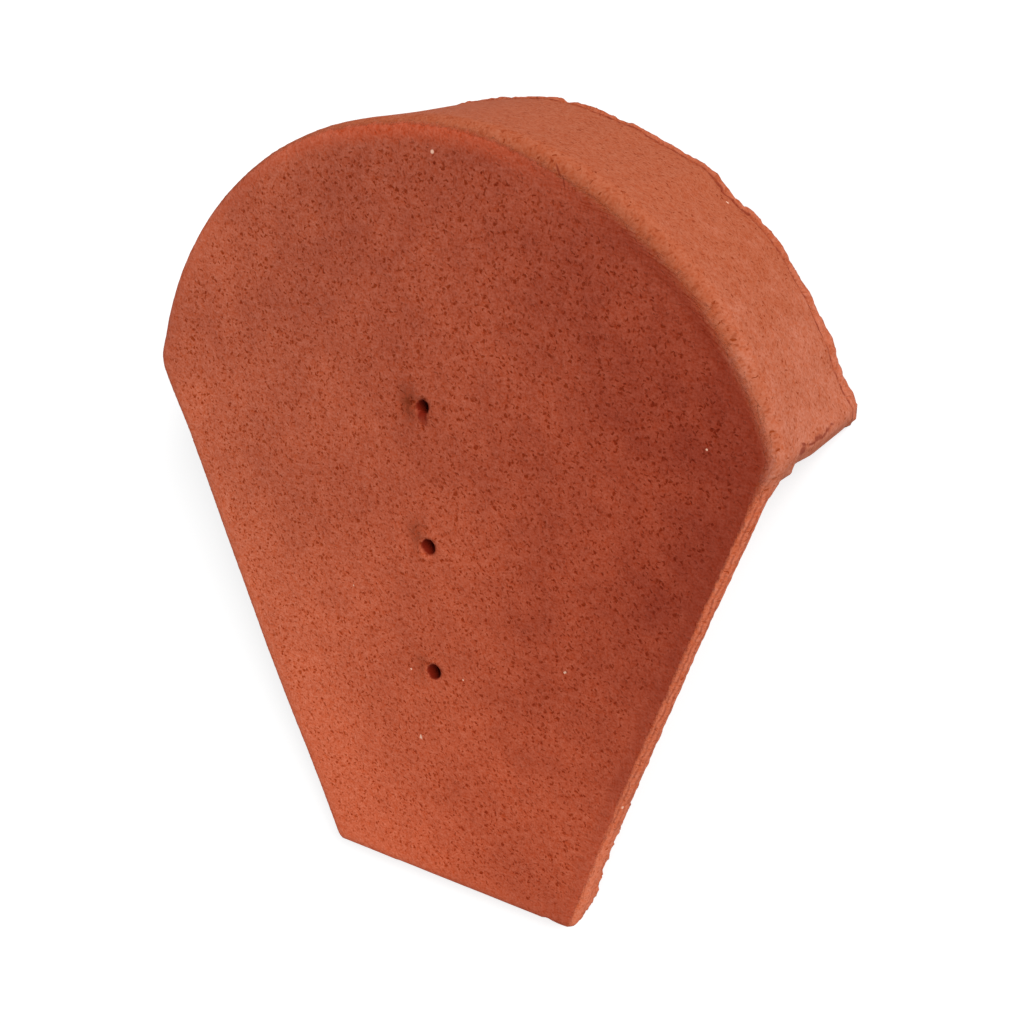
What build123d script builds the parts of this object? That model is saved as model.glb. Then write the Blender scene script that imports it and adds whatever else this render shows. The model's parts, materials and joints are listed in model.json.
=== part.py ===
from build123d import *
import math
import os

# A fired-clay closure tile for the end of a ridge: a domed plate that narrows to a tail, with an
# arched flange behind the dome. It is drawn from the front, with the front face at height zero and
# the dome's centre at the origin. It is then laid face up on the ground, where it rests on the two
# feet of its flange and on the back edge of its tail.

# Plate, seen from the front
DOME_HALF_WIDTH = 128.0
DOME_RISE = 119.0
SHOULDER_HEIGHT = 27.0
SHOULDER_RADIUS = 12.0
TAIL_HALF_WIDTH = 54.5
TAIL_DROP = 165.0
TAIL_CORNER_RADIUS = 3.0
PLATE_THICKNESS = 12.0

# Flange behind the dome
FLANGE_DEPTH = 62.0
FLANGE_THICKNESS = 12.0
FOOT_BELOW_SHOULDER = 8.0
LIP_WIDTH = 2.5
LIP_HEIGHT = 1.0

# Nail holes on the centre line
NAIL_HOLE_DIAMETER = 5.0
NAIL_HOLE_PITCH = 50.0
MIDDLE_HOLE_HEIGHT = -24.0

# Rolled edge, filled corner and broken edges
CREST_RADIUS = 5.0
INNER_CORNER_RADIUS = 8.0
BROKEN_EDGE = 1.0

# The straight sides run from the end of the dome's curve down to the tail
shoulder_half_width = DOME_HALF_WIDTH * math.sqrt(1 - (SHOULDER_HEIGHT / DOME_RISE) ** 2)
side_slope = (shoulder_half_width - TAIL_HALF_WIDTH) / (SHOULDER_HEIGHT + TAIL_DROP)
foot_height = SHOULDER_HEIGHT - FOOT_BELOW_SHOULDER


def outline(inset):
    """The tile from the front, drawn in by the same distance from the dome, the sides and the tail."""
    dome = Ellipse(DOME_HALF_WIDTH - inset, DOME_RISE - inset)
    below = Pos(0, -TAIL_DROP) * Rectangle(2 * (DOME_HALF_WIDTH - inset), 2 * TAIL_DROP)
    bottom = inset - TAIL_DROP
    foot = TAIL_HALF_WIDTH + side_slope * inset - math.hypot(1, side_slope) * inset
    top = 2 * DOME_RISE
    head = foot + side_slope * (top - bottom)
    wedge = Polygon((-foot, bottom), (foot, bottom), (head, top), (-head, top), align=None)
    return wedge & (dome + below)


def softened(inset):
    """The outline with its shoulders and the corners of its tail rounded."""
    sketch = outline(inset)
    shoulders = sketch.vertices().filter_by_position(Axis.Y, 0, 2 * SHOULDER_HEIGHT)
    sketch = fillet(shoulders, SHOULDER_RADIUS - inset)
    corners = sketch.vertices().filter_by_position(Axis.Y, inset - TAIL_DROP, inset - TAIL_DROP)
    return fillet(corners, TAIL_CORNER_RADIUS)


def edges_at(solid, height):
    """The edges that lie level at one height."""
    return solid.edges().filter_by_position(Axis.Z, height, height)


# A block of the flange's full depth, with the thin lip that the mould leaves round its rim
tile = extrude(softened(0), -FLANGE_DEPTH)
tile += Pos(0, 0, LIP_WIDTH - FLANGE_DEPTH) * extrude(softened(-LIP_HEIGHT), -LIP_WIDTH)

# Everything behind the plate is taken out but the flange, an arch that ends in two feet
beneath_feet = Pos(0, foot_height - 2 * TAIL_DROP) * Rectangle(4 * DOME_HALF_WIDTH, 4 * TAIL_DROP)
hollow = outline(FLANGE_THICKNESS) + beneath_feet
tile -= Pos(0, 0, -PLATE_THICKNESS) * extrude(hollow, -FLANGE_DEPTH)

# Clay smoothed into the corner behind the plate, a rolled edge round the front, and edges broken
# by hand round the rim and the back of the plate
corner = edges_at(tile, -PLATE_THICKNESS).filter_by_position(Axis.Y, foot_height, DOME_RISE)
tile = fillet(corner, INNER_CORNER_RADIUS)
tile = fillet(edges_at(tile, 0), CREST_RADIUS)
tile = chamfer(edges_at(tile, -FLANGE_DEPTH), BROKEN_EDGE)
back_edge = edges_at(tile, -PLATE_THICKNESS).filter_by_position(Axis.Y, -TAIL_DROP, 0)
tile = chamfer(back_edge, BROKEN_EDGE)

# Three nail holes straight through the plate, one above another
nail_hole = Cylinder(NAIL_HOLE_DIAMETER / 2, 3 * PLATE_THICKNESS)
for step in (-1, 0, 1):
    tile -= Pos(0, MIDDLE_HOLE_HEIGHT + step * NAIL_HOLE_PITCH) * nail_hole

# Laid face up: the flange lifts the dome until its feet and the tail touch the ground together
lean = math.degrees(math.atan2(FLANGE_DEPTH - PLATE_THICKNESS, foot_height + TAIL_DROP))
tile = Rot(X=lean) * tile
bounds = tile.bounding_box()
tile = Pos(-bounds.center().X, -bounds.center().Y, -bounds.min.Z) * tile

os.makedirs("parts", exist_ok=True)
export_step(tile, "parts/tile_body.step")
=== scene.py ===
"""Looks of a hand-made ridge-end closure tile in fired red clay, lying face up on a pale floor."""
import json
import math
from types import SimpleNamespace

import bmesh
import bpy
from mathutils import Matrix, Vector, noise


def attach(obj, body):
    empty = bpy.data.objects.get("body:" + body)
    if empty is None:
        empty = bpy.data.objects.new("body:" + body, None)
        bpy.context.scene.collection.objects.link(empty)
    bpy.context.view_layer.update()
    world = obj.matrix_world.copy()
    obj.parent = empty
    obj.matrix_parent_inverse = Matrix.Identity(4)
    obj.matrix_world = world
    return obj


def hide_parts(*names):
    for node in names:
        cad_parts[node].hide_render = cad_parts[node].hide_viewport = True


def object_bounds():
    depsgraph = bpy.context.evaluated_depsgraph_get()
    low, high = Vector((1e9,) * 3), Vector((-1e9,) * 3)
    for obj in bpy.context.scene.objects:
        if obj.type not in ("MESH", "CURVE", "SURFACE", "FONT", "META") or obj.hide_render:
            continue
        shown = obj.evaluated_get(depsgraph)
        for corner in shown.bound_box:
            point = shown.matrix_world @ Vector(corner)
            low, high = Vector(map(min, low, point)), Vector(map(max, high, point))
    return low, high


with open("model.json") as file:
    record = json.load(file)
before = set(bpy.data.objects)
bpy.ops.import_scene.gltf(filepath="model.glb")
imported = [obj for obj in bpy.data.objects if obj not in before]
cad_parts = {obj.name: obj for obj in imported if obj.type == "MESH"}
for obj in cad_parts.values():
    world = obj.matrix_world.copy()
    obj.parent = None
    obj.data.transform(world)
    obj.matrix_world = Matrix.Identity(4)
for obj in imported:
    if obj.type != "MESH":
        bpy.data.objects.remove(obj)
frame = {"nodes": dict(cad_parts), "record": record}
cad_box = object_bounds()

# Sizes of the tile, in millimetres. Places on it are given as (across, up, out): across and up lie
# in the plane of the front face, measured from the centre of the dome, and out leaves that face.
# Depth is how far a place lies behind the face, and inset how far it lies inside the outline.
HALF_WIDTH = 128.0
RISE = 119.0
SHOULDER = 27.0
TAIL_HALF = 54.5
DROP = 165.0
PLATE = 12.0
DEPTH = 62.0
WALL = 12.0
FOOT = 19.0
MIDDLE_HOLE = -24.0
HOLE_PITCH = 50.0
HOLE_RADIUS = 2.5
HOLES = (MIDDLE_HOLE - HOLE_PITCH, MIDDLE_HOLE, MIDDLE_HOLE + HOLE_PITCH)

# Even mesh: the size of its cells and how close points of the CAD are joined, both in metres
CELL = 0.00164
JOIN = 2e-6
# The mesh stays this far inside the CAD's box, in metres
MARGIN = 2e-5
# How deep the skin is that counts as the outer wall, and how far round a nail hole the mesh is finer
SKIN = 1.2
HOLE_ZONE = 8.0

# The middle nail hole gives the place and the lean of the front face
nail = next(m for m in frame["record"]["mounts"] if m["name"] == "nail_hole_middle")
OUT = Vector(nail["axis"]).normalized()
ACROSS = Vector((1, 0, 0))
UP = OUT.cross(ACROSS)
CENTRE = Vector(nail["pos_m"]) * 1000 - MIDDLE_HOLE * UP + PLATE / 2 * OUT

shoulder_half = HALF_WIDTH * math.sqrt(1 - (SHOULDER / RISE) ** 2)
SLOPE = (shoulder_half - TAIL_HALF) / (SHOULDER + DROP)


# Places on the tile
def on_tile(point):
    """A point of the frame, in metres, as (across, up, out) in millimetres."""
    r = point * 1000 - CENTRE
    return r.dot(ACROSS), r.dot(UP), r.dot(OUT)


def in_frame(across, up, out):
    """A place on the tile, in millimetres, as a point of the frame in metres."""
    return (CENTRE + across * ACROSS + up * UP + out * OUT) / 1000


def past_edge(across, up):
    """How far a place lies outside the tile's outline, below zero inside, and the way out."""
    stretch = math.hypot(1, SLOPE)
    side = (abs(across) - TAIL_HALF - SLOPE * (up + DROP)) / stretch
    best = (side, math.copysign(1 / stretch, across), -SLOPE / stretch)
    if -DROP - up > best[0]:
        best = (-DROP - up, 0.0, -1.0)
    if up > 0:
        k = math.hypot(across / HALF_WIDTH, up / RISE)
        gx, gy = across / HALF_WIDTH ** 2 / k, up / RISE ** 2 / k
        g = math.hypot(gx, gy)
        if (k - 1) / g > best[0]:
            best = ((k - 1) / g, gx / g, gy / g)
    return best


def between(table, x):
    """The value of a table of pairs at x, in straight lines from pair to pair."""
    if x <= table[0][0]:
        return table[0][1]
    for (x0, y0), (x1, y1) in zip(table, table[1:]):
        if x <= x1:
            return y0 + (y1 - y0) * (x - x0) / (x1 - x0)
    return table[-1][1]


def fade(x, low, high):
    """0 below low, 1 above high, smooth between them."""
    t = min(max((x - low) / (high - low), 0.0), 1.0)
    return t * t * (3 - 2 * t)


def dip(x, wide):
    """1 at zero, falling away smoothly on both sides."""
    return math.exp(-(x / wide) ** 2)


def grain(p, size, seed):
    """Smooth noise from -1 to 1 with lumps of about one size in millimetres."""
    return noise.noise(Vector((p[0] / size + seed, p[1] / size - seed, p[2] / size + 2 * seed)))


def lumpy(p, layers, start=0.0, raised=0.0):
    """Layers of lumps added up from a start; raised by 1, they only build up."""
    height = start
    for high, size, seed in layers:
        height += high * (raised + grain(p, size, seed))
    return height


# Shape of the hand-made tile. Three tables go by the angle round the dome in degrees, from the
# right: how far the rim of the flange sways out, how wide its lip is and how far the crest sways
# out. Two go by the height: how far the back of the plate's right side is drawn in, and how far
# its left side swells.
RIM_SWAY = (
    (0, 0), (11, 0), (13.8, 1.3), (17, -1.0), (21, -1.9), (24, -1.3), (28, -2.2), (32, -1.6), (35, -1.7),
    (40, -0.7), (44, -0.6), (48, -1.1), (50, -1.4), (52.3, -1.3), (54.5, 0.2), (56.4, 0.9), (58.5, 0.1),
    (61, -0.1), (65, -0.7), (69, 0.3), (73, 0), (77, 0.8), (84, 1.3), (91, 0.3), (98, 0), (106, -1.2),
    (113, -2.6), (122, -2.8), (140, -2.2), (160, -1), (172, 0))
LIP_WIDE = (
    (0, 4.8), (14, 5.0), (21, 6.0), (30, 4.6), (45, 3.7), (60, 3.0), (80, 2.6), (100, 2.6), (180, 3.2))
CREST_SWAY = (
    (78, 0), (88, -0.3), (94, -0.8), (100, -0.6), (106, -0.1), (112, 0.1), (118, 0.4), (134, 0.2),
    (141, 0), (157, -0.15), (162, -0.3), (168, 0.7), (176, 0.2), (180, 0))
SIDE_DRAFT = (
    (-165, 0.2), (-158, -0.9), (-150, -1.0), (-143, 0.4), (-125, 1.4), (-100, 2.1), (-80, 2.6),
    (-60, 3.2), (-27, 4.0), (-8, 4.0), (2, 3.5), (15, 3.3), (22, 1.2), (28, 0.4), (40, 0))
SIDE_SWELL = (
    (-160, 0.2), (-140, 0.3), (-125, 0.6), (-105, 1.4), (-85, 1.7), (-60, 1.3), (-40, 1.1), (-20, 0.7),
    (0, 0.3), (18, 0.6), (30, 0.2), (50, -0.3), (100, -0.3), (119, 0))

# Layers of lumps on each part: how high, how wide and which draw of the noise
SIDE_LUMPS = ((0.34, 6, 14), (0.24, 2.4, 15))
WALL_LUMPS = ((0.12, 27, 0), (0.05, 7, 3))
LIP_LUMPS = ((0.6, 4.2, 5), (0.35, 1.9, 8))
RIM_CRUMBS = ((0.35, 5, 11), (0.2, 2, 2))
BURR_LUMPS = ((0.7, 3.4, 4), (0.4, 1.6, 9))
FACE_LUMPS = ((0.1, 36, 1), (0.05, 11, 7))
BACK_LUMPS = ((0.14, 19, 2), (0.09, 6, 3))
FOOT_LUMPS = ((0.7, 7, 12), (0.55, 2.6, 13))

# Worn end of each foot, by its height, and the clay smeared into the corner above it
FOOT_EDGE = 21.9
WEB = 5.2
# Grooves along the plate's sides: depth, how deep they are pressed and how wide
GROOVES = ((6.9, 0.6, 1.1), (9.9, 0.35, 0.6))
# Mouth of each nail hole, from the tail up: how far it is pulled aside and up, and its radius
MOUTHS = ((-1.5, 1.2, 2.6), (-1.5, -0.3, 2.65), (-1.1, 0.1, 2.2))
MOUTH_DEPTH = 5.0
# How near a hole the mesh still belongs to its bore, and how thick the two faces are there
BORE_REACH, MOUTH_EDGE = 3.6, 0.7
# Dent pressed beside each hole: how far aside and above, its size and how deep it is
DENT_ASIDE, DENT_ABOVE, DENT_WIDE, DENT_HIGH, DENT_DEEP = -7.6, 2.0, 3.2, 3.0, 0.4
# Sunken ring round each mouth
RING_RADIUS, RING_DEEP = 2.6, 0.2
# Darker patch beside each hole, from the tail up: how far aside and above, and how dark
DARK_PATCHES = ((-6.0, 2.5, 0.5), (-5.8, 4.2, 0.65), (-6.6, 0.8, 1.0))
DARK_PATCH_WIDE, DARK_PATCH_HIGH = 3.6, 5.4
# Drag below the top nail hole: how long, its radius, where it starts and how far it wanders
DRAG_LONG, DRAG_RADIUS, DRAG_START, DRAG_WANDER = 5.2, 1.6, -0.6, 1.1
# Chips knocked off the edges: across, up, out, how wide, how deep
CHIPS = (
    (44.5, -165, -1, 3.0, 0.8), (57.5, -161, -9, 2.6, 1.2), (-30, -165, -10, 2.4, 0.7),
    (104, -26, -11.5, 2.2, 0.7), (80.5, -92, -11.5, 2.0, 0.7), (64, -140, -11.5, 2.6, 0.7),
    (-96, -50, -11.5, 2.4, 0.8), (-70, -122, -11.5, 2.8, 0.9), (121, 20, -30, 2.4, 0.7),
    (-122, 21, -44, 3.0, 0.9), (20, 119, -62, 2.6, 0.8), (-60, 105, -62, 3.0, 0.9))


class Spot:
    """One place of the drawn tile, and how far hand, mould and kiln move it."""

    def __init__(self, across, up, out):
        self.across, self.up, self.depth = across, up, max(-out, 0.0)
        self.place = (across, up, self.depth)
        self.edge, self.way_across, self.way_up = past_edge(across, up)
        self.angle = math.degrees(math.atan2(up / RISE, across / HALF_WIDTH))
        self.outer = self.edge > -SKIN
        self.push = self.lift = self.rise = self.torn = 0.0

    def tear(self, amount):
        """Makes the clay at least this torn."""
        self.torn = max(self.torn, amount)


def true_wall(s):
    """The outer wall set true, without the steps of the even mesh."""
    end = DEPTH - 3.5 if s.up > FOOT else PLATE - SKIN
    if abs(s.edge) < 0.6 and 5.5 < s.depth < end:
        s.push -= s.edge


def sway(s):
    """The outer wall sways, the right side is drawn in, the left side swells."""
    near_edge = fade(s.edge, -22, -11)
    s.push += near_edge * between(RIM_SWAY, max(s.angle, 0)) * (s.depth / DEPTH) ** 1.2
    s.push += near_edge * between(CREST_SWAY, s.angle) * (1 - fade(s.depth, 25, 60))
    if s.outer and s.up < 20 and s.depth < 9:
        s.push += lumpy(s.place, SIDE_LUMPS) * fade(s.depth, 0.5, 2.5)
    if s.across > 25:
        s.push -= (near_edge * between(SIDE_DRAFT, s.up) * min(s.depth / PLATE, 1.0)
                   * (1 - fade(s.depth, 14, 30)))
    elif s.across < -25:
        s.push += near_edge * between(SIDE_SWELL, s.up) * (1 - fade(s.depth, 8, 40))
    s.push -= fade(s.edge, -14, -1) * fade(s.depth, 2, 12) * lumpy(s.place, WALL_LUMPS, raised=1)


def lip(s):
    """Lumpy lip round the rim, with a crease inside it and a torn edge."""
    high = min(max(lumpy(s.place, LIP_LUMPS, start=0.62), 0.0), 1.1)
    crease = DEPTH - between(LIP_WIDE, s.angle)
    on_rim = s.depth >= DEPTH - 0.6
    if s.outer and on_rim:
        s.push += 0.8 * (high - 1)
    elif s.outer and s.up > FOOT - 1 and s.depth > DEPTH - 9:
        want = -0.3 * dip(s.depth - crease, 0.6) + fade(s.depth, crease, crease + 1.5) * high
        s.push += fade(s.depth, DEPTH - 9, DEPTH - 8) * (want - s.edge)
    if s.depth > DEPTH - 1.2:
        s.lift += fade(s.depth, DEPTH - 1.2, DEPTH - 0.4) * lumpy(s.place, RIM_CRUMBS, raised=1)
        s.tear(fade(s.depth, DEPTH - 1.4, DEPTH - 0.6))
    if s.outer and s.depth > crease:
        s.tear(0.5 * fade(s.depth, crease, crease + 1))


def burr(s):
    """Ragged burr along the back of the plate's sides, with soft grooves before it."""
    if not s.outer or s.up >= FOOT or s.depth >= PLATE + 1:
        return
    on_side = fade(s.edge, -1.2, -0.2)
    ragged = fade(s.depth, 9.2, 11) * (lumpy(s.place, BURR_LUMPS) - 0.1)
    pressed = sum(deep * dip(s.depth - depth, wide) for depth, deep, wide in GROOVES)
    s.push += on_side * (ragged - pressed)
    s.tear(on_side * fade(s.depth, 9.6, 10.8) * 0.8)


def uneven_faces(s):
    """Front and back faces that are never quite flat, and worn feet."""
    if s.depth < 6 and s.edge < 0.5:
        s.lift -= (1 - fade(s.depth, 2, 6)) * lumpy(s.place, FACE_LUMPS, start=0.1, raised=1)
    if 10.5 < s.depth < 20 and s.edge < -1.5:
        s.lift += (1 - fade(s.depth, 12.5, 20)) * lumpy(s.place, BACK_LUMPS, raised=1)
    if s.depth > 12.5 and s.edge > -13.5 and s.up > FOOT - 1.5:
        worn = lumpy(s.place, FOOT_LUMPS, start=FOOT_EDGE - FOOT - 0.8, raised=1)
        s.rise += (1 - fade(s.up - FOOT, 0, 3.5)) * worn
        s.tear(1 - fade(s.up - FOOT, 0.3, 1.6))


def chipped(s):
    """Chips knocked off the edges."""
    for across, up, out, wide, deep in CHIPS:
        off = math.dist(s.place, (across, up, -out)) / wide
        if off < 1:
            s.push -= deep * (1 - off * off)
            s.tear(0.8 * (1 - off * off))


def corner_web(across, up, depth, edge):
    """Clay smeared into the corner between a foot and the back of the plate."""
    if up >= FOOT_EDGE:
        run, away = max(depth - PLATE, 0.0), math.hypot(up - FOOT_EDGE, min(depth - PLATE, 0.0))
        base = (FOOT_EDGE, max(depth, PLATE))
    else:
        run, away = up - FOOT_EDGE, abs(PLATE - depth)
        base = (up, PLATE)
    share = (1 - fade(away, 0, 5)) * (1 - fade(-edge, 9, 14))
    if abs(run) >= WEB or share <= 0:
        return across, up, depth
    turn = math.radians(45 + 45 * run / WEB)
    down = share * (FOOT_EDGE - WEB + WEB * math.sin(turn) - base[0])
    along = share * (PLATE + WEB - WEB * math.cos(turn) - base[1])
    return across + math.copysign(SLOPE * down, across), up + down, depth + along


def nailed(s, across, up, depth):
    """Nail holes pushed through by hand: a pulled mouth and a dent, and a drag below the top one."""
    for hole, (aside, above, mouth) in zip(HOLES, MOUTHS):
        dx, dy = s.across, s.up - hole
        far = math.hypot(dx, dy)
        if far > 2 * HOLE_ZONE or s.depth > PLATE + 1:
            continue
        in_bore = far < HOLE_RADIUS or far < BORE_REACH and MOUTH_EDGE < s.depth < PLATE - MOUTH_EDGE
        if far > 0.05 and in_bore:
            front = 1 - fade(s.depth, 0, MOUTH_DEPTH)
            wide = HOLE_RADIUS + (mouth - HOLE_RADIUS) * front
            across += dx * (wide / far - 1) + aside * front
            up += dy * (wide / far - 1) + above * front
        elif s.depth <= MOUTH_EDGE and far < HOLE_ZONE:
            share = (HOLE_ZONE - far) / (HOLE_ZONE - HOLE_RADIUS)
            across += share * ((mouth - HOLE_RADIUS) * dx / far + aside)
            up += share * ((mouth - HOLE_RADIUS) * dy / far + above)
        if s.depth < 2:
            dent = math.exp(-(((dx - DENT_ASIDE) / DENT_WIDE) ** 2 + ((dy - DENT_ABOVE) / DENT_HIGH) ** 2))
            depth += DENT_DEEP * dent + RING_DEEP * dip(far - RING_RADIUS, 0.8)
        if hole == HOLES[-1]:
            t = min(max(-dy / DRAG_LONG, 0.0), 1.0)
            off = math.hypot(dx - DRAG_START - DRAG_WANDER * t, dy + DRAG_LONG * t) / DRAG_RADIUS
            if off < 1:
                depth += (1.1 - 0.8 * t) * math.sqrt(1 - off * off) * max(1 - s.depth / PLATE, 0)
    return across, up, depth


def fired(across, up, out):
    """Where hand, mould and kiln left one place of the drawn tile, and how torn the clay is there."""
    s = Spot(across, up, out)
    for change in (true_wall, sway, lip, burr, uneven_faces, chipped):
        change(s)
    new = (across + s.push * s.way_across, up + s.push * s.way_up + s.rise, s.depth - s.lift)
    if abs(across) > 60 and s.edge > -14 and -WEB - 3 < up - FOOT < 10 and s.depth < PLATE + WEB:
        new = corner_web(*new, s.edge)
    new_across, new_up, new_depth = nailed(s, *new)
    return new_across, new_up, -new_depth, s.torn


def darkened_beside_holes(across, up):
    """How much the clay is darkened in a patch beside each nail hole."""
    dark = 0.0
    for hole, (aside, above, strength) in zip(HOLES, DARK_PATCHES):
        dx, dy = across - aside, up - hole - above
        dark = max(dark, strength * math.exp(-((dx / DARK_PATCH_WIDE) ** 2 + (dy / DARK_PATCH_HIGH) ** 2)))
    return dark


def from_nearest_hole(across, up):
    """How far a place lies from the middle of the nearest nail hole."""
    return min(math.hypot(across, up - hole) for hole in HOLES)


def fine_zone(across, up, out):
    """True where crumbs, chips and holes need a finer mesh."""
    edge = past_edge(across, up)[0]
    if edge > -SKIN and (up < FOOT + 4 or out < -DEPTH + 8):
        return True
    if out < -DEPTH + SKIN and edge > -WALL - 1:
        return True
    if abs(up - FOOT) < 2.5 and out < -PLATE and edge > -WALL - 2:
        return True
    return out > -PLATE - 1 and from_nearest_hole(across, up) < HOLE_ZONE


def shown(name, data):
    """A new object in the scene."""
    made = bpy.data.objects.new(name, data)
    bpy.context.scene.collection.objects.link(made)
    return made


def even_body():
    """The tile's solid as one even mesh, finer where its edges crumble."""
    bm = bmesh.new()
    bm.from_mesh(frame["nodes"]["tile_body"].data)
    bmesh.ops.remove_doubles(bm, verts=bm.verts, dist=JOIN)
    bmesh.ops.recalc_face_normals(bm, faces=bm.faces)
    mesh = bpy.data.meshes.new("tile_blank")
    bm.to_mesh(mesh)
    bm.free()
    blank = shown("tile_blank", mesh)
    remesh = blank.modifiers.new("even_mesh", "REMESH")
    remesh.mode = "VOXEL"
    remesh.voxel_size = CELL
    dg = bpy.context.evaluated_depsgraph_get()
    even = bpy.data.meshes.new_from_object(blank.evaluated_get(dg))
    bpy.data.objects.remove(blank)
    bm = bmesh.new()
    bm.from_mesh(even)
    bpy.data.meshes.remove(even)
    near = {v for v in bm.verts if fine_zone(*on_tile(v.co))}
    edges = [e for e in bm.edges if e.verts[0] in near and e.verts[1] in near]
    bmesh.ops.subdivide_edges(bm, edges=edges, cuts=1, use_grid_fill=True)
    return bm


def fired_tile():
    """The whole tile as one piece, pressed, chipped and fired, with its layers for the colours."""
    bm = even_body()
    drawn = bm.verts.layers.float_vector.new("drawn")
    inset, torn, dark_patch, bore = (
        bm.verts.layers.float.new(name) for name in ("inset", "torn", "dark_patch", "bore"))
    low, high = (Vector(c) for c in cad_box)
    for v in bm.verts:
        across, up, out = on_tile(v.co)
        v[drawn] = (across, up, -out)
        v[inset] = -past_edge(across, up)[0]
        v[dark_patch] = darkened_beside_holes(across, up) if out > -3 else 0.0
        # Share of painted shade in and round each nail hole: full in the hole, fading just outside its edge
        v[bore] = 1 - fade(from_nearest_hole(across, up), HOLE_RADIUS + 0.2, HOLE_RADIUS + 0.6)
        new_across, new_up, new_out, v[torn] = fired(across, up, out)
        new = in_frame(new_across, new_up, new_out)
        v.co = [min(max(c, a + MARGIN), b - MARGIN) for c, a, b in zip(new, low, high)]
    bmesh.ops.recalc_face_normals(bm, faces=bm.faces)
    mesh = bpy.data.meshes.new("fired_tile")
    bm.to_mesh(mesh)
    bm.free()
    for polygon in mesh.polygons:
        polygon.use_smooth = True
    return shown("fired_tile", mesh)


class Nodes:
    """A node tree, and short ways to add to it. Values are numbers, colours or sockets."""

    def __init__(self, tree):
        self.tree = tree

    def give(self, socket, value):
        """Wires an input, or sets it."""
        if isinstance(value, bpy.types.NodeSocket):
            self.tree.links.new(value, socket)
        else:
            socket.default_value = value

    def put(self, kind, given=None, **settings):
        """A node with its settings and its inputs."""
        made = self.tree.nodes.new(kind)
        for name, value in settings.items():
            setattr(made, name, value)
        for key, value in (given or {}).items():
            self.give(made.inputs[key], value)
        return made

    def calc(self, operation, *values):
        return self.put("ShaderNodeMath", dict(enumerate(values)), operation=operation).outputs[0]

    def vector(self, operation, *values, output=0):
        made = self.put("ShaderNodeVectorMath", dict(enumerate(values)), operation=operation)
        return made.outputs[output]

    def times(self, first, *others):
        for other in others:
            first = self.calc("MULTIPLY", first, other)
        return first

    def most(self, first, *others):
        """The largest of some masks."""
        for other in others:
            first = self.calc("MAXIMUM", first, other)
        return first

    def minus(self, first, second):
        return self.calc("SUBTRACT", first, second)

    def scaled(self, value, factor, added):
        return self.calc("MULTIPLY_ADD", value, factor, added)

    def held(self, value):
        """A value kept between 0 and 1."""
        return self.put("ShaderNodeClamp", {0: value}).outputs[0]

    def joined(self, x, y):
        """Two numbers as one place."""
        return self.put("ShaderNodeCombineXYZ", {0: x, 1: y}).outputs[0]

    def ramp(self, value, low, high, start=0.0, end=1.0):
        """start below low, end above high, smooth between them, or the other way round."""
        given = {"Value": value, "From Min": low, "From Max": high, "To Min": start, "To Max": end}
        return self.put("ShaderNodeMapRange", given, interpolation_type="SMOOTHSTEP").outputs[0]

    def line(self, gap, narrow, wide):
        """1 where a gap is near zero, on both sides of it."""
        return self.ramp(self.calc("ABSOLUTE", gap), narrow, wide, 1.0, 0.0)

    def blend(self, share, first, second, kind="MIX"):
        given = {0: share, 6: first, 7: second}
        return self.put("ShaderNodeMix", given, data_type="RGBA", blend_type=kind).outputs[2]

    def cloud(self, place, size, detail, flat=False, output="Fac"):
        """Soft noise about one half, with lumps of about one size in millimetres."""
        given = {"Vector": place, "Scale": 1 / size, "Detail": detail}
        return self.put("ShaderNodeTexNoise", given, noise_dimensions="2D" if flat else "3D").outputs[output]

    def by_angle(self, angle, table):
        """A value, ten at most, read from a table by the angle round the tile in degrees."""
        share = self.put("ShaderNodeMapRange", {"Value": angle, "From Min": -180.0, "From Max": 180.0})
        colours = self.put("ShaderNodeValToRGB", {"Fac": share.outputs[0]})
        stops = colours.color_ramp.elements
        while len(stops) < len(table):
            stops.new(0.5)
        for stop, (degrees, value) in zip(stops, table):
            stop.position = (degrees + 180) / 360
        for stop, (degrees, value) in zip(stops, table):
            stop.color = (value / 10, value / 10, value / 10, 1)
        return self.times(colours.outputs["Color"], 10.0)

    def turned(self, place, angle):
        """A place turned about the middle of its own plane."""
        given = {"Vector": place, "Angle": angle}
        return self.put("ShaderNodeVectorRotate", given, rotation_type="Z_AXIS").outputs[0]

    def mark_at(self, place, spot, wide, stretch=(1, 1), lean=0.0):
        """A spot or a short line at one place, wide in millimetres."""
        off = self.vector("SUBTRACT", place, (*spot, 0))
        if lean:
            off = self.turned(off, lean)
        off = self.vector("MULTIPLY", off, (*stretch, 1))
        return self.ramp(self.vector("LENGTH", off, output="Value"), wide * 0.5, wide * 1.2, 1.0, 0.0)

    def marks(self, place, **values):
        """Straw marks: how strong they are, and a chance drawn for each."""
        return self.put("ShaderNodeGroup", {"Place": place, **values}, node_tree=straw).outputs


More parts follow.
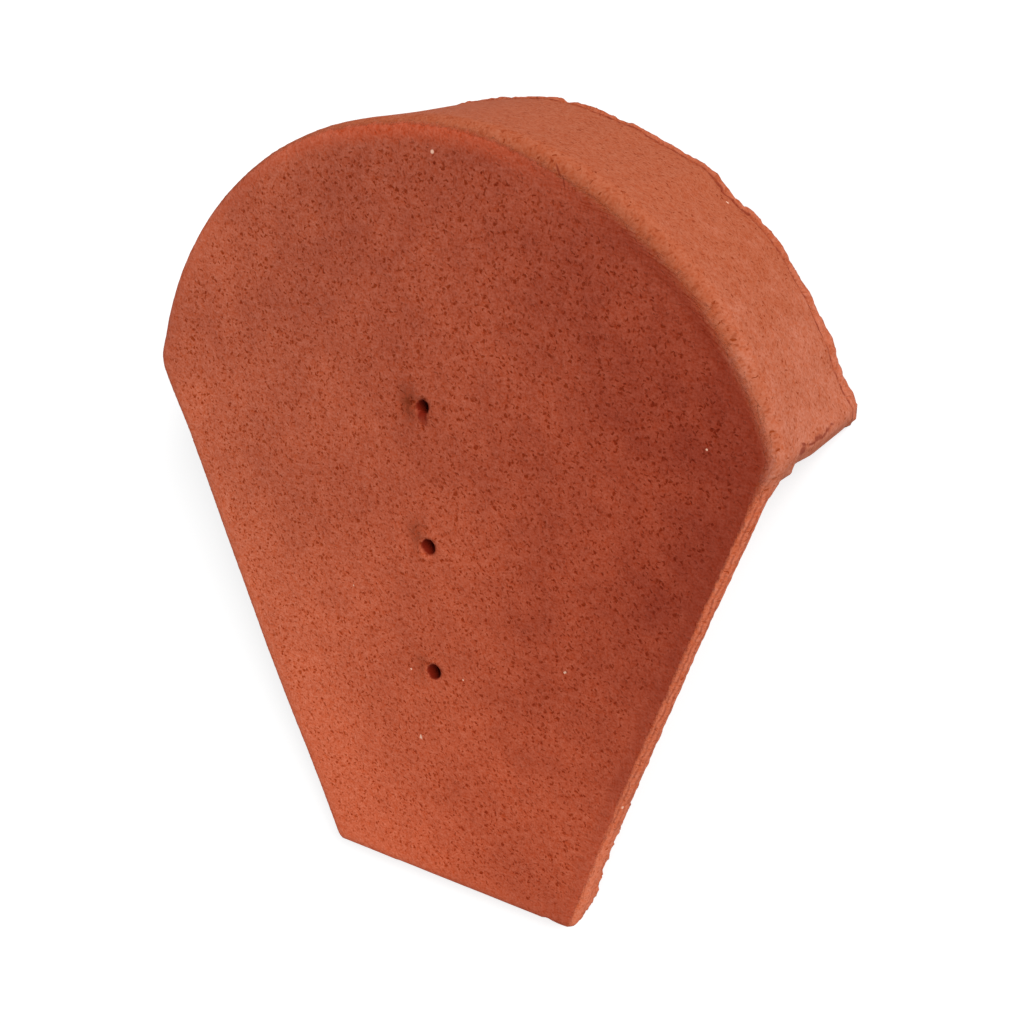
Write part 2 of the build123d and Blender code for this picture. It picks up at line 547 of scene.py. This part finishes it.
def straw_marks():
    """Short strokes and dots left in the clay, one to a cell, turned every way."""
    tree = bpy.data.node_groups.new("straw_marks", "ShaderNodeTree")
    tree.interface.new_socket("Place", in_out="INPUT", socket_type="NodeSocketVector")
    for label, value in (("Cell", 2.5), ("Length", 0.9), ("Width", 0.2), ("Amount", 0.7)):
        socket = tree.interface.new_socket(label, in_out="INPUT", socket_type="NodeSocketFloat")
        socket.default_value = value
    for label in ("Mask", "Chance"):
        tree.interface.new_socket(label, in_out="OUTPUT", socket_type="NodeSocketFloat")
    t = Nodes(tree)
    given = t.put("NodeGroupInput").outputs
    out = t.put("NodeGroupOutput").inputs
    spread = {"Vector": given["Place"], "Scale": t.calc("DIVIDE", 1.0, given["Cell"])}
    cells = t.put("ShaderNodeTexVoronoi", spread, voronoi_dimensions="2D").outputs
    chance = t.put("ShaderNodeSeparateColor", {"Color": cells["Color"]}).outputs
    local = t.turned(t.vector("SUBTRACT", given["Place"], cells["Position"]), t.times(chance[0], 6.283))
    axes = t.put("ShaderNodeSeparateXYZ", {0: local}).outputs
    half = t.times(given["Length"], chance[1])
    over = t.calc("MAXIMUM", t.minus(t.calc("ABSOLUTE", axes[0]), half), 0.0)
    away = t.calc("SQRT", t.scaled(over, over, t.times(axes[1], axes[1])))
    wide = t.times(given["Width"], t.scaled(chance[2], 0.7, 0.6))
    solid = t.ramp(t.calc("DIVIDE", away, wide), 0.35, 1.45, 1.0, 0.0)
    draw = t.calc("FRACT", t.scaled(chance[1], 7.3, t.times(chance[0], 5.7)))
    kept = t.ramp(t.minus(given["Amount"], draw), 0.0, 0.45, 0.0, 1.0)
    t.give(out["Mask"], t.times(solid, kept))
    t.give(out["Chance"], draw)
    return tree


# Colours of the clay
BROWN_FACE = (0.278, 0.0495, 0.0258, 1)
ORANGE_FACE = (0.672, 0.163, 0.079, 1)
DARK_BAND = (0.262, 0.035, 0.0145, 1)
RED_BAND = (0.47, 0.08, 0.033, 1)
FLANGE = (0.38, 0.0905, 0.0388, 1)
FLANGE_FOOT = (0.47, 0.14, 0.0775, 1)
PLATE_SIDE = (0.59, 0.146, 0.07, 1)
LOW_SIDE = (0.655, 0.17, 0.084, 1)
TORN = (0.52, 0.135, 0.068, 1)
BACK = (0.43, 0.1, 0.048, 1)
BACK_DUST = (0.5, 0.165, 0.095, 1)
CRACK = (0.19, 0.02, 0.007, 1)
# Painted shade, dark red, inside the nail holes and in the scoop below the top one
HOLE_SHADE = (0.16, 0.0085, 0.0012, 1)
LIME = (0.85, 0.52, 0.38, 1)
# Tints that only darken what is under them, and how far each colour goes with the mottle
LESS_BLUE = (1, 0.81, 0.72, 1)
PORE = (0.57, 0.26, 0, 1)
STREAK = (0.8, 0.62, 0.45, 1)
OLIVE = (0.45, 0.31, 0.15, 1)
MOTTLE = (0.33, 1.05, 1.75)

# Lime specks and iron spots that can be told apart, by across, up and how wide they are
LIME_SPECKS = ((7.5, 108.3, 0.7), (101, 28.5, 0.4), (-11.4, -74.3, 0.45), (11.6, -72.3, 0.4))
IRON_SPOTS = (
    (22.6, 103.4, 0.45), (25.2, 102.7, 0.5), (28, 101.2, 0.45), (30.8, 100, 0.5), (8.2, 105, 0.7),
    (19.7, -124.8, 0.9), (36.8, -156.2, 0.8), (26.4, -136.3, 0.8), (101, -3, 0.6), (-58, 41, 0.6))

# Patches of the face made lighter or darker, partly the firing's own tone and partly painted light and
# shade:
# how much, and where each begins and is full across, going up and, from above, coming down
FIRE_AND_LIGHT_PATCHES = (
    (-0.09, (20, -10), (-60, -10), (112, 88)), (0.17, (-28, -60), (40, 80), (200, 199)),
    (0.09, (5, -30), (-80, -125), (200, 199)), (-0.1, (15, 45), (-85, -50), (12, -12)),
    (0.05, (5, 25), (45, 65), (112, 95)))

# By the angle round the dome: how far in from the outline the pale clay of the flange reaches
# round the front edge, and how strong the dark and the red smoothed band inside it are, out of ten
PALE_REACH = (
    (-180, 1.2), (-108, 1.2), (-90, 1.2), (-74, 1.8), (-64, 2.6), (-55, 3.6), (0, 4.1), (12, 3.9),
    (20, 4.2), (30, 5.2), (40, 5.0), (50, 6.0), (60, 5.6), (70, 4.6), (80, 3.1), (92, 2.0), (110, 1.2),
    (180, 1.2))
DARK_ROLL = (
    (-180, 0), (-80, 0), (-60, 3), (0, 5), (15, 10), (35, 9), (45, 6.5), (60, 3), (72, 1.5), (82, 0),
    (180, 0))
RED_ROLL = ((-180, 0), (50, 0), (66, 3), (76, 8), (95, 9), (112, 4), (135, 1.5), (165, 1.5), (180, 0))

# One radius that turns the angle round the tile into a length, and the sizes of the shared noise
ARC_RADIUS = 124.0
CLOUD_SIZES = (46, 10, 2.4, 0.8)
# Cracks: how high the one over the foot lies, and the insets of the two lines on the right side
FOOT_CRACK = 28.1
ARRIS_INSETS = (2.5, 0.9)
# Short cracks across the crest: place, how wide and how they lean
CREST_CRACKS = (((51.6, 104.6), 0.38, 1.1), ((53.6, 101.4), 0.3, 1.35))
# Pit over the right foot, by the length along the wall and the depth
FOOT_PIT = (28.7, 16)


def lie_of_clay(t):
    """Where each point lies on the drawn tile, what was done to it there, and shared noise."""
    def layer(name, output="Fac"):
        return t.put("ShaderNodeAttribute", attribute_name=name).outputs[output]

    m = SimpleNamespace(inset=layer("inset"), torn=layer("torn"), dark_patch=layer("dark_patch"), bore=layer("bore"))
    drawn = layer("drawn", "Vector")
    m.across, m.up, m.depth = t.put("ShaderNodeSeparateXYZ", {0: drawn}).outputs
    turn = t.calc("ARCTAN2", t.calc("DIVIDE", m.up, RISE), t.calc("DIVIDE", m.across, HALF_WIDTH))
    m.angle = t.calc("DEGREES", turn)
    m.arc = t.times(turn, ARC_RADIUS)
    m.face_place = t.joined(m.across, m.up)
    m.wall_place = t.joined(m.arc, m.depth)
    m.on_face = t.ramp(m.depth, 2.0, 1.0)
    m.big, m.mid, m.small, m.fine = (t.cloud(drawn, size, 1) for size in CLOUD_SIZES)
    m.wander = t.minus(t.cloud(m.wall_place, 6.5, 2, flat=True), 0.5)
    return m


def front_edge(t, m):
    """Pale clay of the flange round the front edge, frayed on the haunch, and smoothed bands."""
    slant = t.joined(t.minus(t.times(m.arc, 0.5), t.times(m.inset, 1.55)), t.times(m.arc, 0.13))
    m.fibre = t.minus(t.cloud(slant, 1, 2, flat=True), 0.5)
    m.haunch = t.times(t.ramp(m.angle, 24, 38), t.ramp(m.angle, 72, 58))
    ragged = t.scaled(m.fibre, t.scaled(m.haunch, 4.0, 1.2), t.times(t.minus(m.small, 0.5), 1.4))
    soft = t.scaled(t.times(t.ramp(m.angle, 82, 30), t.ramp(m.angle, 3, 14)), 2.4, 1.0)
    m.gap = t.minus(t.calc("ADD", m.inset, ragged), t.by_angle(m.angle, PALE_REACH))
    m.pale = t.ramp(t.calc("DIVIDE", m.gap, soft), -0.6, 0.7, 1.0, 0.0)
    face = t.minus(1.0, m.pale)
    rolled = t.times(t.ramp(m.gap, 2.5, 7.0, 1.0, 0.0), face)
    m.dark_roll = t.times(rolled, t.times(t.by_angle(m.angle, DARK_ROLL), 0.1))
    m.red_roll = t.times(rolled, t.times(t.by_angle(m.angle, RED_ROLL), 0.1))
    m.smoothed = t.times(t.ramp(m.gap, 3.0, 9.0, 1.0, 0.0), face)
    m.behind = t.times(t.ramp(m.inset, 0.5, 1.3), t.ramp(m.depth, 10.9, 11.7))
    m.wall = t.times(m.pale, t.ramp(m.inset, 5.5, 4.5))
    m.frayed = t.times(t.ramp(m.fibre, -0.06, -0.16), m.haunch, t.line(m.gap, 0.8, 2.2))


def straw_and_pits(t, m):
    """Straw marks and pits, thick on the face, longer and fewer on the flange and the back."""
    given = {0: m.wall, 4: m.face_place, 5: m.wall_place}
    place = t.put("ShaderNodeMix", given, data_type="VECTOR").outputs[1]
    bend = t.cloud(place, 1.25, 0.0, flat=True, output="Color")
    place = t.vector("MULTIPLY_ADD", bend, (1.1, 1.1, 0.0), place)
    sparse = t.most(m.wall, m.behind)
    m.strong = t.marks(place, Cell=t.scaled(sparse, 1.1, 2.0), Length=t.scaled(sparse, 0.15, 0.33),
                       Width=t.scaled(sparse, -0.1, 0.35), Amount=0.9)["Mask"]
    faint = t.marks(place, Cell=1.2, Length=0.22, Width=0.25, Amount=0.95)["Mask"]
    dots = t.marks(place, Cell=3.6, Length=0.25, Width=0.43, Amount=0.85)
    m.dots = dots["Mask"]
    m.lime_dot = t.ramp(dots["Chance"], 0.0012, 0.001)
    m.open_clay = t.times(t.minus(1.0, t.times(m.smoothed, 0.9)), t.minus(1.0, m.torn))
    crowd = t.ramp(m.mid, 0.36, 0.6, 0.5, 1.0)
    dot = t.times(m.dots, t.scaled(sparse, -0.6, 1.0), t.minus(1.0, m.lime_dot))
    m.pits = t.times(t.most(t.times(m.strong, crowd), dot), m.open_clay)
    m.hairs = t.times(faint, m.open_clay)


def cracks(t, m):
    """Crack lines inside the lip, along the plate's sides, over the foot and across the crest."""
    outer = t.ramp(m.inset, 1.4, 0.7)
    broken = t.ramp(m.small, 0.36, 0.56, 0.35, 1.0)
    right_side = t.ramp(m.across, 40, 60)

    crease = t.calc("ADD", m.depth, t.by_angle(m.angle, LIP_WIDE))
    inside_lip = t.line(t.minus(t.scaled(m.wander, 1.6, DEPTH), crease), 0.2, 0.6)

    seam, thin_seam = (t.minus(t.scaled(m.wander, amount, groove[0]), m.depth)
                       for groove, amount in zip(GROOVES, (3.0, -2.4)))
    seams = t.most(t.line(seam, 0.5, 1.4), t.times(t.line(thin_seam, 0.2, 0.8), 0.7))
    seams = t.times(seams, t.times(t.ramp(m.up, 16, 8), t.ramp(m.up, -125, -100, 0.15, 1.0)))

    along = t.times(right_side, t.ramp(m.up, 24, 14), t.ramp(m.up, -130, -108))
    strip = t.scaled(m.wander, 1.8, m.inset)
    inner, outermost = (t.minus(strip, inset) for inset in ARRIS_INSETS)
    m.arris = t.most(t.times(t.line(inner, 0.05, 0.5), t.times(along, 0.62)),
                     t.times(t.line(outermost, 0.1, 0.45), along, 0.5))

    over_foot = t.line(t.minus(t.scaled(m.wander, 5.0, FOOT_CRACK), m.up), 0.2, 0.8)
    over_foot = t.times(over_foot, t.times(t.ramp(m.depth, 14.5, 17), t.ramp(m.depth, 44, 38), right_side))
    foot_pit = t.times(t.mark_at(m.wall_place, FOOT_PIT, 1.6, (1, 0.6)), right_side)
    crest = t.most(*(t.mark_at(m.face_place, spot, wide, (0.16, 1), lean)
                     for spot, wide, lean in CREST_CRACKS))

    crack = t.times(t.most(inside_lip, seams, over_foot), t.times(outer, broken))
    m.crack = t.most(crack, crest, t.times(m.arris, broken), t.times(foot_pit, outer))


def specks(t, m):
    """Lime and iron in the clay: those that can be told apart, and rare dots of lime."""
    def spots(table):
        return t.times(t.most(*(t.mark_at(m.face_place, (a, b), wide) for a, b, wide in table)), m.on_face)

    m.lime = t.most(spots(LIME_SPECKS), t.times(m.dots, m.lime_dot, m.open_clay))
    m.iron = spots(IRON_SPOTS)


def painted_drag_shade(t, m):
    """Dark red painted shade in the scoop dragged down from the top nail hole, with a darker painted shadow
    along its right edge.
    """
    scoop = t.times(t.mark_at(m.face_place, (-0.4, 22.7), 2.2, (1, 0.6), -0.2),
                    t.ramp(m.up, 19.8, 23.5, 0.55, 1.0))
    edge = t.most(t.mark_at(m.face_place, (1.25, 22.2), 0.42, (1, 0.28), 0.05),
                  t.mark_at(m.face_place, (0.8, 20.4), 0.36, (1, 0.36), 0.6))
    return t.times(t.most(scoop, t.times(edge, 0.7)), m.on_face)


def face_colour(t, m):
    """The face: cloudy from the kiln, with painted light and shade from dark brown at the top right to
    lighter orange at the low left and the tail.
    """
    # Painted light and shade: lighter and oranger towards the left and the tail, darker and browner towards
    # the top right
    fire_and_painted_light = t.calc("ADD", t.scaled(m.across, -0.0037, 0.5), t.times(m.up, -0.0016))
    fire_and_painted_light = t.scaled(t.calc("ADD", m.up, 80.0), t.times(t.ramp(m.across, -10, -70), -0.0015), fire_and_painted_light)
    for strength, sideways, reach, fall in FIRE_AND_LIGHT_PATCHES:
        upright = t.times(t.ramp(m.up, *reach), t.ramp(m.up, *fall))
        fire_and_painted_light = t.scaled(t.times(t.ramp(m.across, *sideways), upright), strength, fire_and_painted_light)
    # Cloudy tone of the firing
    fire_and_painted_light = t.scaled(t.minus(m.big, 0.5), 0.5, fire_and_painted_light)
    fire_and_painted_light = t.scaled(t.minus(m.mid, 0.5), 0.3, fire_and_painted_light)
    fire_and_painted_light = t.scaled(t.ramp(m.inset, 9.0, 1.0), t.ramp(m.across, 10, -40, 0.0, 0.06), fire_and_painted_light)
    colour = t.blend(t.held(fire_and_painted_light), BROWN_FACE, ORANGE_FACE)
    warm = t.scaled(m.up, -0.00325, t.scaled(m.across, 0.00625, 0.51))
    colour = t.blend(t.held(warm), colour, LESS_BLUE, "MULTIPLY")
    colour = t.blend(m.dark_roll, colour, DARK_BAND)
    colour = t.blend(m.red_roll, colour, RED_BAND)
    streaks = t.times(t.ramp(m.fibre, 0.02, 0.2), m.haunch, t.ramp(m.gap, 9.0, 4.0))
    return t.blend(streaks, colour, STREAK, "MULTIPLY")


def flange_colour(t, m):
    """The flange, paler towards its feet, and the sides of the plate below them."""
    low = t.ramp(t.scaled(t.minus(m.mid, 0.5), 90.0, m.up), 95, 10)
    side = t.blend(t.ramp(m.up, -95, -125), PLATE_SIDE, LOW_SIDE)
    return t.blend(t.ramp(m.up, 24, 14), t.blend(low, FLANGE, FLANGE_FOOT), side)


def clay_colour(t, m):
    """Every colour of the clay, from the firing and the painted light and shade to the marks on top of it.
    """
    colour = t.blend(m.pale, face_colour(t, m), flange_colour(t, m))
    dust = t.ramp(t.scaled(m.small, 0.5, m.mid), 0.62, 0.95)
    colour = t.blend(m.behind, colour, t.blend(dust, BACK, BACK_DUST))
    colour = t.blend(t.times(m.torn, t.ramp(m.small, 0.35, 0.6, 0.4, 1.0)), colour, TORN)

    mottle = t.scaled(t.minus(m.small, 0.5), 0.85, t.times(t.minus(m.fine, 0.5), 1.1))
    mottle = t.times(mottle, t.scaled(m.wall, -0.25, 1.0))
    uneven = t.put("ShaderNodeVectorMath", {0: MOTTLE, "Scale": mottle}, operation="SCALE").outputs[0]
    colour = t.vector("MULTIPLY_ADD", colour, uneven, colour)

    spotty = t.ramp(t.scaled(m.small, 0.6, t.times(m.fine, 0.4)), 0.37, 0.55, 0.25, 1.0)
    cracked = t.times(t.most(m.crack, t.times(m.frayed, 0.5)), 0.75)
    for share, tint, kind in (
            (t.times(m.hairs, 0.4), PORE, "MULTIPLY"),
            (t.times(m.pits, 0.9), PORE, "MULTIPLY"),
            (t.times(m.dark_patch, spotty), OLIVE, "MULTIPLY"),
            (cracked, CRACK, "MIX"),
            (t.times(m.iron, 0.9), PORE, "MULTIPLY"),
            # Painted shade: the nail holes and the scoop below the top one
            (t.most(m.bore, painted_drag_shade(t, m)), HOLE_SHADE, "MIX"),
            (t.times(m.lime, 0.9), LIME, "MIX")):
        colour = t.blend(share, colour, tint, kind)
    return colour


def clay_relief(t, m):
    """Grain, crumbs and pits, with heights in millimetres."""
    crumbly = t.most(m.torn, t.times(m.behind, 0.5))
    height = t.times(m.fine, t.scaled(crumbly, 0.8, 0.12))
    height = t.scaled(m.small, t.scaled(crumbly, 0.9, 0.14), height)
    height = t.scaled(t.most(m.strong, m.dots), -0.07, height)
    height = t.scaled(m.arris, -0.18, height)
    return t.put("ShaderNodeBump", {"Height": height, "Strength": 1.0, "Distance": 0.001}).outputs[0]


def fired_red_clay():
    """The one clay of the tile: fired cloudy, smoothed round the front edge, torn at the rim."""
    clay = bpy.data.materials.new("fired_red_clay")
    clay.use_nodes = True
    t = Nodes(clay.node_tree)
    shader = clay.node_tree.nodes["Principled BSDF"].inputs
    m = lie_of_clay(t)
    front_edge(t, m)
    straw_and_pits(t, m)
    cracks(t, m)
    specks(t, m)
    t.give(shader["Base Color"], clay_colour(t, m))
    t.give(shader["Normal"], clay_relief(t, m))
    t.give(shader["Roughness"], t.scaled(m.small, 0.12, 0.82))
    shader["Specular IOR Level"].default_value = 0.1
    return clay


tile = fired_tile()
straw = straw_marks()
tile.data.materials.append(fired_red_clay())
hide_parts("tile_body")
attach(tile, "root")

# Camera of the photograph
camera_data = bpy.data.cameras.new("camera")
camera_data.lens = 45.10
camera_data.sensor_width = 36
camera = shown("camera", camera_data)
stand = Vector((0.24394, 0.07253, 0.40698))
aim = Vector((0.03364, 0.00923, 0.05338))
top = Vector((-0.1833, 0.9808, -0.0663))
back = (stand - aim).normalized()
right = top.cross(back).normalized()
facing = Matrix((right, back.cross(right), back)).transposed().to_4x4()
camera.matrix_world = Matrix.Translation(stand) @ facing
bpy.context.scene.camera = camera


def seen(t):
    """1 for rays that show the background itself, as the camera, a mirror and glass see it."""
    path = t.put("ShaderNodeLightPath").outputs
    return t.most(path["Is Camera Ray"], path["Is Glossy Ray"], path["Is Transmission Ray"])


# Pale floor, white to the camera where nothing shades it
FLOOR_HALF = 6
FLOOR_GLOW = 0.6
floor_mesh = bpy.data.meshes.new("floor")
bm = bmesh.new()
bmesh.ops.create_grid(bm, x_segments=1, y_segments=1, size=FLOOR_HALF)
bm.to_mesh(floor_mesh)
bm.free()
floor = shown("floor", floor_mesh)
pale_floor = bpy.data.materials.new("pale_floor")
pale_floor.use_nodes = True
t = Nodes(pale_floor.node_tree)
paint = pale_floor.node_tree.nodes["Principled BSDF"].inputs
paint["Base Color"].default_value = (0.55, 0.55, 0.55, 1)
paint["Roughness"].default_value = 1
paint["Specular IOR Level"].default_value = 0
paint["Emission Color"].default_value = (1, 1, 1, 1)
t.give(paint["Emission Strength"], t.times(seen(t), FLOOR_GLOW))
floor_mesh.materials.append(pale_floor)

# Soft studio light: even white all round and one large lamp up and to the right
LAMP_AWAY = 3.0
LAMP_AIM = Vector((0, 0, 0.04))
world = bpy.data.worlds.new("soft_studio")
bpy.context.scene.world = world
world.use_nodes = True
t = Nodes(world.node_tree)
sky = world.node_tree.nodes["Background"].inputs
sky["Color"].default_value = (1, 1, 1, 1)
t.give(sky["Strength"], t.scaled(seen(t), 0.45, 0.55))
lamp_data = bpy.data.lights.new("lamp", "AREA")
lamp_data.shape = "SQUARE"
lamp_data.size = 1.5
lamp_data.energy = 80
lamp = shown("lamp", lamp_data)
way = (0.64 * ACROSS + 0.64 * UP + 0.43 * OUT).normalized()
lamp.location = LAMP_AWAY * way + LAMP_AIM
lamp.rotation_euler = way.to_track_quat("Z", "Y").to_euler()
bpy.context.scene.view_settings.view_transform = "Standard"
